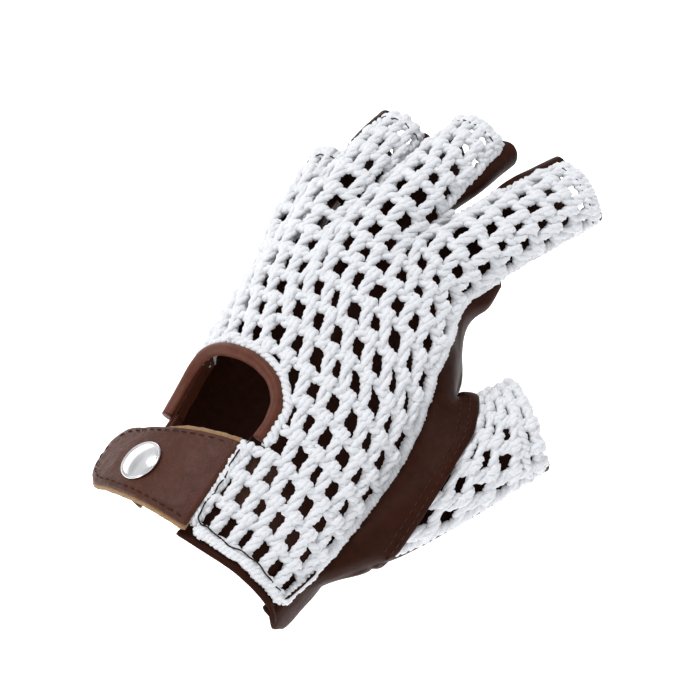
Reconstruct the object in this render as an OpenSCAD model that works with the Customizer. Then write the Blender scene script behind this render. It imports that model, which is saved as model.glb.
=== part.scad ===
// Fingerless leather and crochet driving glove, left hand, lying palm down.
// Z is up through the back of the hand, +Y runs to the fingers, +X to the thumb.
// The palm rests on z = 0. Lengths in mm, angles in degrees.

/* [Hand] */
// overall length scale of the hand, 1 is a medium size
hand_k = 1; // [0.85:0.01:1.2]
// half width of the hand at the knuckles
hand_half_w = 36; // [30:0.5:42]
// height of the back over the palm at its highest
hand_h = 44; // [36:0.5:50]
// squareness of the back, 2 is a true ellipse
back_power = 2.25; // [2:0.05:3]
// squareness of the palm
palm_power = 3; // [2:0.1:4]

/* [Sheets] */
// thickness of the leather
leather_t = 1.2; // [0.8:0.1:2]
// how far the crochet reaches in from the glove's surface
crochet_in = 1; // [0.5:0.1:2]
// how far the crochet stands out from the glove's surface
crochet_out = 1.2; // [0.5:0.1:2]
// gap between neighbouring sheets of one body
seam_gap = 0.3; // [0.1:0.05:1]
// gap between the hand and each finger stall
joint_gap = 0.8; // [0.4:0.1:1.5]

/* [Fingers] */
// length of the index stall over its base
index_l = 38; // [25:1:60]
// length of the middle stall
middle_l = 30; // [20:1:60]
// length of the ring stall
ring_l = 27; // [18:1:60]
// length of the little stall
little_l = 24; // [15:1:50]
// how far the leather sides stand out past the crochet at each finger end
side_reach = 3; // [0:0.5:6]

/* [Thumb] */
// x of the plane where the thumb is sewn on
thumb_x = 45; // [42:0.5:48]
// half length of the thumb opening at its root
thumb_root = 36; // [28:1:42]
// half width of the thumb stall at its end
thumb_end = 14.5; // [10:0.5:17]
// how far the thumb seam sits back at the crotch of the thumb
crotch_in = 5.5; // [0:0.5:6]

/* [Wrist] */
// y of the top of the keyhole opening
keyhole_top = 51.5; // [40:0.5:65]
// width of the rolled leather binding round the keyhole
binding_w = 4.2; // [3:0.1:6]
// x of the edge of the crochet along the vent
vent_x = -0.8; // [-4:0.1:4]
// how far the wrist facing runs in under the crochet
facing_depth = 14; // [6:1:30]

/* [Strap] */
// length of the strap from its fold to its tip
strap_l = 47; // [36:1:56]
// width of the strap at its fold
strap_w = 31; // [24:0.5:36]
// width of the strap at its tip
strap_tip_w = 22; // [16:0.5:28]
// slope of the strap's outer face at the snap
strap_mid_slope = 32; // [20:1:40]
// slope of the strap's outer face at the tip
strap_drop = 47; // [30:1:70]
// thickness of the suede lining under the strap
lining_t = 1; // [0.6:0.1:2]
// diameter of the snap cap
cap_d = 13.6; // [10:0.2:17]
// height of the snap cap's dome
cap_h = 1.8; // [1:0.1:3]
// distance of the snap from the strap's fold
snap_s = 25; // [15:0.5:35]

/* [Show] */

/* [Hidden] */
// place of the box centre in the working coordinates
shift = [-13.7, -75.9, 0];
pt = back_power;
pb = palm_power;
w = hand_half_w;
h = hand_h;
// hand sections: y, left x, left z, top x, top z, right x, right z, bottom z
SECTIONS = [
    [-16, -w + 5, 21, -1, h - 4, w - 3, 21, 3],
    [20, -w + 5, 19, 1, h - 2, w + 0.5, 19, 0],
    [50, -w + 2, 17, 4, h, w + 3, 17, 0],
    [78, -w, 15, 6, h, w + 2, 17, 0],
    [105, -w - 1.5, 14, 5, h - 3, w - 2, 17, 0],
    [134, -w - 1, 13, 4, h - 9, w - 2.5, 18, 2]
];
// wrist edge: angle round the hand, y. 0 is the thumb side, 90 the back
CUFF = [[-90, 16], [-45, 6], [-20, -4], [5, -15], [30, -13], [60, -11], [95, -10],
    [140, -5], [180, 2], [225, 10], [270, 16], [315, 6], [340, -4], [365, -15], [390, -13], [400, -12]];
// stalls: base, yaw, pitch at the base, pitch at the end, length, half width and
// half height at the base, the same at the end
FINGERS = [
    [[20.5, 125, 22], 24, -3, -12, index_l, 11.7, 11.5, 11.2, 10.5],
    [[-4.4, 130, 25], 10, -6, -18, middle_l, 10.5, 11.3, 10.2, 10.5],
    [[-24.6, 124, 23.4], 3, -10, -20, ring_l, 9, 9.8, 8.6, 9.3],
    [[-36.6, 111, 10], -3, -1, -4, little_l, 7.7, 8.6, 7.4, 8.2]
];
// where the hand's section meets the stalls: angle round the hand, stall, angle round it
JOIN = [[-90, 0, 205], [32, 0, 365], [86, 0, 520], [90, 1, 20], [116, 1, 160], [119, 2, 20],
    [151, 2, 150], [156, 3, 50], [188, 3, 178], [216, 3, 320], [222, 2, 230], [247, 2, 322],
    [251, 1, 205], [267, 1, 335], [270, 0, 205], [392, 0, 365]];
// thumb stall: three points its axis bends through
THUMB = [[33, 38, 16], [47, 52, 17], [62, 81, 14.5]];
blend_from = 0.72;
thread_r = 0.35;
// crochet round each stall: from, to, and how far its two edges draw in at the end
CROCHET = [[6, 160, 0, 16], [21, 159, 20, 8], [21, 164, 18, 30], [62, 177, 0, 0]];
// edge of the crochet on the thumb side: v, angle
CROCHET_EDGE = [[0, 26], [0.15, 17], [0.4, 16], [0.54, 24], [0.68, 36], [0.82, 34], [1, 30]];
// strap's fold: its x and z
fold = [vent_x - 0.7, h + 0.2];
// how far the flap under the strap lies below the glove's surface
flap_in = 1.6;
// stud: its flange's top under the strap's outer face, its radii and its knob
stud_z = -3.7;
stud_r = 4.4;
post_r = 1.2;
knob_r = 1.9;
socket_r = 5.2;
socket_bore = 3.3;
strap_y0 = 7.5;
strap_y1 = 5.5;
strap_tilt = -1;
// how deep the panel's upper edge is tucked under the crochet
tuck = 2;
// levels under the strap's outer face
lining_top = -leather_t - 0.1;
lining_bottom = lining_top - lining_t;

function ease(t) = let (u = max(0, min(1, t))) u * u * (3 - 2 * u);
function unit(v) = v / norm(v);
function sp(v, p) = sign(v) * pow(abs(v), p);
function find(tab, k, i = 0) = (i >= len(tab) - 2 || k <= tab[i + 1][0]) ? i : find(tab, k, i + 1);
function slope(tab, i) = let (a = max(i - 1, 0), b = min(i + 1, len(tab) - 1))
    (tab[b] - tab[a]) / (tab[b][0] - tab[a][0]);
// smooth curve through the rows of a table, by its first column
function smooth(tab, k) = let (
        i = find(tab, k),
        g = tab[i + 1][0] - tab[i][0],
        t = max(0, min(1, (k - tab[i][0]) / g)))
    (2 * t * t * t - 3 * t * t + 1) * tab[i] + (t * t * t - 2 * t * t + t) * g * slope(tab, i)
    + (3 * t * t - 2 * t * t * t) * tab[i + 1] + (t * t * t - t * t) * g * slope(tab, i + 1);
function cuff(a) = smooth(CUFF, a)[1];

// a point of the plain hand, a degrees round it at y
function hand(a, y) = let (
        s = smooth(SECTIONS, y),
        c = cos(a),
        n = sin(a) > 0 ? pt : pb,
        x = s[3] + (c > 0 ? s[5] - s[3] : s[3] - s[1]) * sp(c, 2 / n),
        zm = c > 0 ? s[6] : s[2],
        z = zm + (sin(a) > 0 ? s[4] - zm : zm - s[7]) * sp(sin(a), 2 / n))
    [x, y, max(z, 0)];

// a point of stall k, a degrees round it, t = 0 at its base and 1 at its end
function stall(k, a, t, off = 0) = let (
        f = FINGERS[k],
        r = 180 / PI,
        d = (f[3] - f[2]) / r,
        p = f[2] + (f[3] - f[2]) * t,
        run = (sin(p) - sin(f[2])) / d,
        rise = (cos(f[2]) - cos(p)) / d,
        o = f[0] + f[4] * [sin(f[1]) * run, cos(f[1]) * run, rise],
        u = [cos(f[1]), -sin(f[1]), 0],
        v = cross(u, [sin(f[1]) * cos(p), cos(f[1]) * cos(p), sin(p)]),
        q = max(-0.3, t),
        ha = f[5] + (f[7] - f[5]) * q + off,
        hb = f[6] + (f[8] - f[6]) * q + off)
    o + ha * cos(a) * u + hb * sin(a) * v;

// the same angle round the hand carried on to the stall that it runs into
function target(a, back) = let (
        i = find(JOIN, a),
        p = JOIN[i],
        q = JOIN[i + 1],
        t = max(0, min(1, (a - p[0]) / (q[0] - p[0]))))
    p[1] == q[1] ? stall(p[1], p[2] + (q[2] - p[2]) * t, -back / FINGERS[p[1]][4])
    : (1 - t) * stall(p[1], p[2], -back / FINGERS[p[1]][4]) + t * stall(q[1], q[2], -back / FINGERS[q[1]][4]);

// the glove's surface: a degrees round the hand, v = 0 at the wrist edge, 1 at the stalls
function glove(a, v) = let (
        y0 = cuff(a),
        y1 = target(a, 0)[1] - joint_gap,
        y = y0 + (y1 - y0) * v,
        b = ease((v - blend_from) / (1 - blend_from)))
    b == 0 ? hand(a, y) : (1 - b) * hand(a, y) + b * target(a, joint_gap + (y1 - y0) * (1 - v));
function v_of(a, y) = (y - cuff(a)) / (target(a, 0)[1] - joint_gap - cuff(a));

// moves a point of a surface out along its normal
function out(f, u, v, off, du = 1, dv = 0.01) =
    f(u, v) + off * unit(cross(f(u, v + dv) - f(u, v - dv), f(u + du, v) - f(u - du, v)));
GLOVE = function (a, v) glove(a, v);
function skin(a, v, off) = let (p = out(GLOVE, a, v, off)) [p[0], p[1], max(p[2], 0)];

// a point of the thumb stall
function thumb(a, t, off = 0) = let (
        c = (1 - t) * (1 - t) * THUMB[0] + 2 * t * (1 - t) * THUMB[1] + t * t * THUMB[2],
        d = unit((1 - t) * (THUMB[1] - THUMB[0]) + t * (THUMB[2] - THUMB[1])),
        b = pow(t, 0.8),
        u = unit((1 - b) * [0.1, 1, 0] + b * [-d[1], d[0], 0]),
        ha = thumb_end + (thumb_root - thumb_end) * pow(1 - min(t, 1), 1.8) + off,
        hb = 15 - 2.5 * t + off)
    c + ha * cos(a) * u + [0, 0, hb * sin(a)];
// t at which the thumb stall crosses the plane at x
function thumb_t(a, x, off, lo = 0, hi = 1, n = 16) = let (m = (lo + hi) / 2)
    n == 0 ? m
    : thumb(a, m, off)[0] < x ? thumb_t(a, x, off, m, hi, n - 1)
    : thumb_t(a, x, off, lo, m, n - 1);

// x of the thumb seam, by angle round the thumb
function thumb_cut(a) = thumb_x - crotch_in * max(0, cos(a));

// closed sheet between two grids of points of the same size
module sheet(lo, hi, around = false) {
    nu = len(lo);
    nv = len(lo[0]);
    mu = around ? nu : nu - 1;
    pts = concat([for (r = lo) for (p = r) p], [for (r = hi) for (p = r) p]);
    function id(s, i, j) = s * nu * nv + (i % nu) * nv + j;
    walls = [for (i = [0:mu - 1]) for (j = [0:nv - 2])
        each [[id(0, i, j), id(0, i + 1, j), id(0, i + 1, j + 1)],
            [id(0, i, j), id(0, i + 1, j + 1), id(0, i, j + 1)],
            [id(1, i, j), id(1, i + 1, j + 1), id(1, i + 1, j)],
            [id(1, i, j), id(1, i, j + 1), id(1, i + 1, j + 1)]]];
    ends = [for (i = [0:mu - 1])
        each [[id(0, i, 0), id(1, i, 0), id(1, i + 1, 0)], [id(0, i, 0), id(1, i + 1, 0), id(0, i + 1, 0)],
            [id(0, i, nv - 1), id(1, i + 1, nv - 1), id(1, i, nv - 1)],
            [id(0, i, nv - 1), id(0, i + 1, nv - 1), id(1, i + 1, nv - 1)]]];
    sides = around ? [] : [for (j = [0:nv - 2])
        each [[id(0, 0, j), id(1, 0, j + 1), id(1, 0, j)], [id(0, 0, j), id(0, 0, j + 1), id(1, 0, j + 1)],
            [id(0, nu - 1, j), id(1, nu - 1, j), id(1, nu - 1, j + 1)],
            [id(0, nu - 1, j), id(1, nu - 1, j + 1), id(0, nu - 1, j + 1)]]];
    polyhedron(pts, concat(walls, ends, sides));
}
function steps(a, b, n) = [for (i = [0:n]) a + (b - a) * i / n];

// patch of the glove's skin between two angles, from y0(a) to y1(a)
module patch(a0, a1, na, f0, f1, nv, lo, hi) {
    function grid(off) = [for (a = steps(a0, a1, na)) let (v0 = f0(a), v1 = f1(a))
        [for (v = steps(v0, v1, nv)) skin(a, v, off)]];
    sheet(grid(hi), grid(lo));
}

// round or flat bead along points p, with the surface normals n
module bead(p, n, half_w, half_h, sides = 8) {
    m = len(p);
    rings = [for (i = [0:m - 1]) let (
            t = unit(p[min(i + 1, m - 1)] - p[max(i - 1, 0)]),
            b = unit(cross(t, n[i])),
            q = cross(b, t))
        [for (j = [0:sides - 1]) let (a = 360 * j / sides) p[i] + half_w * cos(a) * b + half_h * sin(a) * q]];
    pts = [for (r = rings) each r];
    quads = [for (i = [0:m - 2]) for (j = [0:sides - 1])
        let (k = (j + 1) % sides)
        each [[i * sides + j, i * sides + k, (i + 1) * sides + k],
            [i * sides + j, (i + 1) * sides + k, (i + 1) * sides + j]]];
    caps = [for (j = [1:sides - 2]) each [[0, j + 1, j],
        [(m - 1) * sides, (m - 1) * sides + j, (m - 1) * sides + j + 1]]];
    polyhedron(pts, concat(quads, caps));
}
// bead along [angle, y] points of the skin at a level over it
module skin_bead(path, off, half_w, half_h, sides = 8) {
    p = [for (q = path) skin(q[0], v_of(q[0], q[1]), off)];
    n = [for (q = path) let (v = v_of(q[0], q[1])) unit(skin(q[0], v, off + 1) - skin(q[0], v, off))];
    bead(p, n, half_w, half_h, sides);
}

// keyhole outline: angle round the hand and y, up one side and down the other
function keyhole(half, base, top) = [for (i = [0:16]) let (s = i * 180 / 16)
    [130 - half * sp(cos(s), 0.8), base + (top - base) * pow(sin(s), 0.65)]];
KEYHOLE = keyhole(45, 24.5, keyhole_top);
BINDING = keyhole(40.4, 26.4, keyhole_top - 2.5);

module crochet_color() { color([0.92, 0.93, 0.95]) children(); }
module leather_color() { color([0.28, 0.13, 0.1]) children(); }
module metal_color() { color([0.75, 0.75, 0.77]) children(); }
module thread_color() { color([0.08, 0.06, 0.06]) children(); }
module suede_color() { color([0.6, 0.42, 0.24]) children(); }

// knitted back of the hand, with the vent and the keyhole left open
function crochet_edge(v) = smooth(CROCHET_EDGE, v)[1];
function back_grid(off) = [for (s = steps(0, 1, 36)) [for (v = steps(0.025, 1, 14))
    let (e = crochet_edge(v)) skin(e + (187 - e) * s, v, off)]];
module crochet_back() crochet_color() difference() {
    sheet(back_grid(crochet_out), back_grid(-crochet_in));
    keyhole_void();
    skin_bead(BINDING, 0, binding_w / 2 + 0.1, 3);
    stall_solid(3, 1.8);
    stall_solid(2, 1.6);
}
module keyhole_void() translate([0, 0, 12]) linear_extrude(60)
    polygon(concat([[vent_x, -40], [vent_x, 24]], [for (q = KEYHOLE) let (p = skin(q[0], v_of(q[0], q[1]), 0))
        [p[0], p[1]]], [[-60, 26], [-60, -40]]));

// rolled leather binding round the keyhole
module keyhole_binding() leather_color()
    skin_bead(BINDING, 0.6, binding_w / 2 - 0.2, 1.6);

// leather palm, from the little finger's side seam to the thumb panel
module palm_leather() leather_color() difference() {
    patch(188, 323, 30, function (a) 0, function (a) a < 226 ? min(1, v_of(a, 107.5)) : 1, 14, -leather_t, 0);
    stall_solid(2, 0.8);
}

// leather tab of the wrist under the strap, pressed in where the stud is riveted
module wrist_flap() leather_color() difference() {
    patch(127, 187, 12, function (a) 0.002, function (a) v_of(a, 25 + 6 * ease((a - 150) / 40)), 5,
        -flap_in - leather_t, -flap_in);
    snap_frame() translate([0, 0, stud_z - 0.5]) cylinder(r = stud_r + 0.25, h = 8, $fn = 48);
    snap_frame() translate([0, 0, stud_z - 5]) cylinder(r = post_r + 0.1, h = 8, $fn = 32);
}

// facing inside the wrist edge, from the vent round to the thumb panel
module wrist_facing() leather_color()
    patch(30, 93, 14, function (a) 0.002, function (a) v_of(a, cuff(a) + facing_depth), 4,
        -crochet_in - 0.3 - leather_t, -crochet_in - 0.3);

// thread run along the vent and the wrist edge of the crochet
module edge_thread() thread_color() skin_bead(concat([for (y = [20:-4:-4]) [90 - (20 - y) / 24, y]],
    [for (a = [88:-6:34]) [a, cuff(a) + 5.5]]), crochet_out + 0.5, thread_r, thread_r, 6);

// leather side panel with the thumb opening
function rim_angle(p) = let (
        s = smooth(SECTIONS, p[1]),
        up = p[2] > s[6],
        k = min(1, abs(p[2] - s[6]) / (up ? s[4] - s[6] : s[6] - s[7])))
    (up ? 1 : -1) * asin(pow(k, (up ? pt : pb) / 2));
// outer edge of the panel, by angle round the thumb opening: v, and 1 on the
// crochet's side, 0 on the palm's
EDGE = [[0, 1, 0.5], [28, 1, 1], [60, 0.72, 1], [90, 0.42, 1], [120, 0.2, 1], [155, 0, 1],
    [180, 0, 0.5], [205, 0, 0], [240, 0.2, 0], [270, 0.42, 0], [300, 0.72, 0], [332, 1, 0], [360, 1, 0.5]];
function lerp_tab(tab, k) = let (i = find(tab, k), t = (k - tab[i][0]) / (tab[i + 1][0] - tab[i][0]))
    (1 - t) * tab[i] + t * tab[i + 1];
// rim of the thumb hole at polar angle m: its point, angle round the hand and v
function panel_rim(m) = let (
        p = thumb(m, thumb_t(m, thumb_cut(m) - joint_gap / 2, 0)),
        g = 360 + rim_angle(p))
    [p, min(max(g, 327), 356 + crochet_edge(v_of(g, p[1])))];
function panel_at(m, r) = let (
        s = panel_rim(m),
        gv = v_of(s[1], s[0][1]),
        e = lerp_tab(EDGE, m),
        ea = 325.6 + e[2] * (363 + crochet_edge(e[1]) - 325.6))
    [s[1] + (ea - s[1]) * r, gv + (e[1] - gv) * r, s[0] - glove(s[1], gv)];
function panel(a, r) = let (q = panel_at((a + 360) % 360, max(0, r)))
    glove(q[0], q[1]) + q[2] * (1 - ease(max(0, r) / 0.5));
PANEL = function (a, r) panel(a, r);
function panel_tuck(a, r) = let (q = panel_at(a, r)) tuck * ease((q[0] - 357.5 - crochet_edge(q[1])) / 3);
function panel_grid(off) = [for (a = [0:8:352]) [for (r = steps(0, 1, 8))
    let (p = out(PANEL, a, r, off - panel_tuck(a, r), 2, 0.03))
    [min(p[0], thumb_cut(a) - joint_gap / 2), p[1], max(p[2], 0)]]];
module thumb_panel() leather_color() sheet(panel_grid(0), panel_grid(-leather_t), true);

// solid inside a stall's outline grown by off, for cutting clearance
module stall_solid(k, off) {
    n = 20;
    ring = [for (i = [0:n - 1]) 360 * i / n];
    rows = steps(-0.02, 1.2, 4);
    pts = [for (t = rows) for (a = ring) stall(k, a, t, off)];
    polyhedron(pts, concat([for (i = [1:n - 2]) each [[0, i + 1, i], [4 * n, 4 * n + i, 4 * n + i + 1]]],
        [for (j = [0:3]) for (i = [0:n - 1]) let (p = j * n + i, q = j * n + (i + 1) % n)
            each [[p, q + n, p + n], [p, q, q + n]]]));
}

// edges of a stall's crochet, by t
function crochet_from(k, t) = CROCHET[k][0] + CROCHET[k][2] * min(1, max(0, t));
function crochet_to(k, t) = CROCHET[k][1] - CROCHET[k][3] * min(1, max(0, t));
// part of stall k between two angles round it, each by t, and two levels
module stall_patch(k, n, from, to, reach, lo, hi) {
    t1 = 1 + reach / FINGERS[k][4];
    function grid(off) = [for (s = steps(0, 1, n))
        [for (t = steps(0, t1, 6)) stall(k, from(t) + (to(t) - from(t)) * s, t, off)]];
    sheet(grid(hi), grid(lo));
}
module stall_crochet(k) crochet_color()
    stall_patch(k, 10, function (t) crochet_from(k, t), function (t) crochet_to(k, t), 0,
        -crochet_in, crochet_out - 0.4);
module stall_sides(k) leather_color() {
    stall_patch(k, 4, function (t) crochet_to(k, t) + 2.5, function (t) CROCHET[k][1] + 40, side_reach,
        -leather_t, 0);
    stall_patch(k, 4, function (t) CROCHET[k][0] - 40, function (t) crochet_from(k, t) - 2.5, side_reach,
        -leather_t, 0);
}
module stall_palm(k) leather_color()
    stall_patch(k, 10, function (t) CROCHET[k][1] + 42.5, function (t) CROCHET[k][0] + 317.5, side_reach,
        -leather_t, 0);
// thread round the end of a stall's crochet
module stall_thread(k) {
    t = 1 - 3 / FINGERS[k][4];
    angles = steps(crochet_from(k, 1) + 4, crochet_to(k, 1) - 4, 12);
    thread_color() bead([for (a = angles) stall(k, a, t, crochet_out + 0.1)],
        [for (a = angles) unit(stall(k, a, t, 1) - stall(k, a, t, 0))], thread_r, thread_r, 6);
}

module index_crochet() stall_crochet(0);
module index_sides() stall_sides(0);
module index_palm() stall_palm(0);
module index_thread() stall_thread(0);
module middle_crochet() stall_crochet(1);
module middle_sides() stall_sides(1);
module middle_palm() stall_palm(1);
module middle_thread() stall_thread(1);
module ring_crochet() stall_crochet(2);
module ring_sides() stall_sides(2);
module ring_palm() stall_palm(2);
module ring_thread() stall_thread(2);
module little_crochet() stall_crochet(3);
module little_sides() stall_sides(3);
module little_palm() stall_palm(3);
module little_thread() stall_thread(3);

// end of the thumb stall, longer on the side of the fingers
function thumb_end_t(a) = 1.0 + 0.06 * cos(a);
module thumb_patch(a0, a1, reach, lo, hi) {
    function grid(off) = [for (a = steps(a0, a1, max(4, round(abs(a1 - a0) / 12))))
        let (x0 = thumb_cut(a) + joint_gap / 2, t0 = thumb_t((a + 360) % 360, x0, off))
        [for (t = steps(t0, thumb_end_t(a) + reach, 7)) let (p = thumb(a, t, off))
            [max(p[0], x0), p[1], max(p[2], 0.3)]]];
    sheet(grid(lo), grid(hi));
}
module thumb_crochet() crochet_color() thumb_patch(14, 172, 0, -crochet_in, crochet_out - 0.4);
module thumb_leather() leather_color() thumb_patch(174, 372, 0.04, -leather_t, 0);

// point of the strap's outer face, s along it and y across, moved out by off
function strap_angle(s) = s < snap_s ? strap_tilt + (strap_mid_slope - strap_tilt) * s / snap_s
    : strap_mid_slope + (strap_drop - strap_mid_slope) * (s - snap_s) / (strap_l - snap_s);
function arc_run(a0, a1, l) = let (k = (a1 - a0) / l * PI / 180)
    [(sin(a1) - sin(a0)) / k, (cos(a0) - cos(a1)) / k];
function strap_point(s, y, off) = let (
        a = strap_angle(s),
        p = s < 0.01 ? [0, 0] : arc_run(strap_tilt, strap_angle(min(s, snap_s)), min(s, snap_s)),
        q = s > snap_s + 0.01 ? arc_run(strap_mid_slope, a, s - snap_s) : [0, 0])
    [fold[0] - p[0] - q[0] - off * sin(a), y, fold[1] - p[1] - q[1] + off * cos(a)];
function strap_half(s) = let (
        u = s / strap_l,
        full = (strap_w + (strap_tip_w - strap_w) * min(1, u / 0.75)) / 2,
        r = max(0, (u - 0.76) / 0.24))
    full * pow(max(0.03, 1 - pow(r, 2.6)), 0.5);
function strap_mid(s) = strap_y0 + (strap_y1 - strap_y0) * min(1, s / strap_l);
module strap_layer(lo, hi, inset) {
    round_end = [for (i = [1:9]) strap_l * (0.76 + 0.24 * pow(i / 9, 0.7)) - inset * i / 9];
    ss = concat(steps(0, 0.76 * strap_l, 9), round_end);
    function grid(off) = [for (s = ss) let (g = max(0.5, strap_half(s) - inset))
        [for (q = [-1:0.5:1]) strap_point(s, strap_mid(s) + q * g, off)]];
    sheet(grid(hi), grid(lo));
}
module strap_top() leather_color() difference() {
    strap_layer(-leather_t, 0, 0.6);
    snap_frame() translate([0, 0, -6]) cylinder(r = 1.6, h = 12, $fn = 40);
}
module strap_lining() suede_color() difference() {
    strap_layer(lining_bottom, lining_top, 0);
    snap_frame() translate([0, 0, -6]) cylinder(r = socket_r + 0.2, h = 12, $fn = 60);
}
// thread row near the strap's edge: distance along it, side of the middle
STRAP_ROW = concat([for (s = [2:4:strap_l * 0.76]) [s, -1]],
    [for (i = [1:11]) let (a = i * 180 / 12) [strap_l * (0.76 + 0.18 * sin(a)), -cos(a)]],
    [for (s = [34:-4:2]) [s, 1]]);
module strap_thread() thread_color() bead(
    [for (q = STRAP_ROW) let (half = strap_half(min(q[0], 0.76 * strap_l)) - 2.8)
        strap_point(q[0], strap_mid(q[0]) + q[1] * half, thread_r + 0.05)],
    [for (q = STRAP_ROW) let (a = strap_angle(q[0])) [-sin(a), 0, cos(a)]], thread_r, thread_r, 6);

// frame of the snap: origin on the strap's outer face, Z out along its normal
module snap_frame() {
    translate(strap_point(snap_s, strap_y1 - 0.5, 0)) rotate([0, -strap_angle(snap_s), 0]) children();
}
dome_r = (pow(cap_d / 2, 2) + pow(cap_h, 2)) / (2 * cap_h);
// domed cap with its shank through the strap
module snap_cap() metal_color() snap_frame() rotate_extrude($fn = 90) union() {
    intersection() {
        translate([0, 0.1 + cap_h - dome_r]) circle(dome_r, $fn = 360);
        translate([0, 0.1]) square([cap_d / 2, cap_h + 1]);
    }
    translate([0, -1.8]) square([1.4, 2.2]);
}
// socket under the strap, sunk in the lining
module snap_socket() metal_color() snap_frame() rotate_extrude($fn = 72) polygon([
    [1.5, -1.6], [socket_r, -1.6], [socket_r, -2.9], [socket_r - 0.5, -3.3],
    [socket_bore, -3.3], [socket_bore, -2.1], [1.5, -2.1]]);
// ring spring in the socket
module socket_spring() metal_color() snap_frame() rotate_extrude($fn = 48)
    translate([socket_bore - 0.32, -2.6]) circle(0.24, $fn = 20);
// stud on the flap
module snap_stud() metal_color() snap_frame() rotate_extrude($fn = 60) polygon([
    [0, stud_z - 0.4], [stud_r, stud_z - 0.4], [stud_r, stud_z - 0.15], [stud_r - 0.4, stud_z],
    [knob_r - 0.4, stud_z], [knob_r - 0.4, stud_z + 0.5],
    [knob_r, stud_z + 0.9], [knob_r - 0.3, stud_z + 1.3], [0, stud_z + 1.4]]);
// rivet that holds the stud, with its flange inside the glove
module stud_post() metal_color() snap_frame() rotate_extrude($fn = 40) polygon([
    [0, stud_z - 0.45], [post_r, stud_z - 0.45], [post_r, stud_z - 3.1],
    [3.4, stud_z - 3.1], [3.4, stud_z - 3.5], [0, stud_z - 3.5]]);

translate(shift) {
    crochet_back();
    palm_leather();
    thumb_panel();
    keyhole_binding();
    wrist_flap();
    wrist_facing();
    edge_thread();
    snap_stud();
    stud_post();
    strap_top();
    strap_lining();
    strap_thread();
    snap_cap();
    snap_socket();
    socket_spring();
    index_crochet();
    index_sides();
    index_palm();
    index_thread();
    middle_crochet();
    middle_sides();
    middle_palm();
    middle_thread();
    ring_crochet();
    ring_sides();
    ring_palm();
    ring_thread();
    little_crochet();
    little_sides();
    little_palm();
    little_thread();
    thumb_crochet();
    thumb_leather();
}
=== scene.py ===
"""Looks of a fingerless driving glove of crochet and brown leather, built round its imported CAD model.

Surfaces are worked out in the CAD source's own millimetres and moved into the row frame, in metres,
when a mesh is made. An angle runs round the hand: 0 the thumb side, 90 the back, 270 the palm.
"""
import math
from functools import partial

import bmesh
import bpy
import numpy as np
from mathutils import Matrix, Vector, noise


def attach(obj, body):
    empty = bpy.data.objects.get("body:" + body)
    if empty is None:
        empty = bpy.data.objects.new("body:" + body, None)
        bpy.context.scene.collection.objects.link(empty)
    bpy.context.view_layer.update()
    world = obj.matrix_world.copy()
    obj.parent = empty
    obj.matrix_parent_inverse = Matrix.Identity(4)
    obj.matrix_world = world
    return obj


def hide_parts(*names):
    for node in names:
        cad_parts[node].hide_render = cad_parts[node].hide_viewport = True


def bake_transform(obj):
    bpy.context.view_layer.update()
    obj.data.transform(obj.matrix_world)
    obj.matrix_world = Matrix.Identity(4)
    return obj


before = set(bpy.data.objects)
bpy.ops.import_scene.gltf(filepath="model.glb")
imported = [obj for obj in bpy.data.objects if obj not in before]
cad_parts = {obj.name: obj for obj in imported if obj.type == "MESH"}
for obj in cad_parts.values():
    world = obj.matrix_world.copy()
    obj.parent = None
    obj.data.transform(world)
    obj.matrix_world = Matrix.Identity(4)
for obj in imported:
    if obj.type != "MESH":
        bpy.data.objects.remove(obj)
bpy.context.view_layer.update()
rng = np.random.default_rng(11)
SHIFT = np.array([-13.7, -75.9, 0.0])  # the CAD source's shift, mm


def metres(points):
    return (np.asarray(points, float) + SHIFT) / 1000


def add_object(name, data):
    obj = bpy.data.objects.new(name, data)
    bpy.context.scene.collection.objects.link(obj)
    return obj


# ---------------------------------------------------------------- camera
TILT_WRIST, TILT_THUMB, ROLL = 24.0, 16.0, 34.0  # degrees off straight above, and turn in the image
DISTANCE, LENS = 0.7, 118.8
AIM, AIM_ASIDE = (5, 70, 30), 0.0015  # a point in CAD millimetres, and metres to the image's right of it
to_camera = Vector((math.tan(math.radians(TILT_THUMB)), -math.tan(math.radians(TILT_WRIST)), 1)).normalized()
up = (Vector((0, 1, 0)) - to_camera * to_camera.y).normalized()
right = up.cross(to_camera)
roll = math.radians(ROLL)
cam_x = math.cos(roll) * right + math.sin(roll) * up
cam_y = -math.sin(roll) * right + math.cos(roll) * up
aim = Vector(metres(AIM)) + cam_x * AIM_ASIDE
camera = add_object("camera", bpy.data.cameras.new("camera"))
camera.matrix_world = Matrix.Translation(aim + to_camera * DISTANCE) @ Matrix(
    (cam_x, cam_y, to_camera)).transposed().to_4x4()
camera.data.lens = LENS
camera.data.clip_start, camera.data.clip_end = 0.01, 20
bpy.context.scene.camera = camera
bpy.context.scene.view_settings.view_transform = "Standard"

# ---------------------------------------------------------------- the glove's surface, as in the CAD source
BACK_POWER, PALM_POWER, W, H = 2.25, 3.0, 36.0, 44.0
JOINT_GAP, BLEND_FROM = 0.8, 0.72
LEATHER_T = 1.2
VENT_X, STRAP_L, THUMB_X, CROTCH_IN = -0.8, 47.0, 45.0, 5.5
# keyhole opening: angle of its middle, y of its base and its top
KEYHOLE_MID, KEYHOLE_BASE, KEYHOLE_TOP = 130, 24.5, 51.5
# angles of the crochet's edge by the little finger and the palm's edge by the thumb panel
SIDE_SEAM, PALM_SEAM = 187, 325
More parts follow.
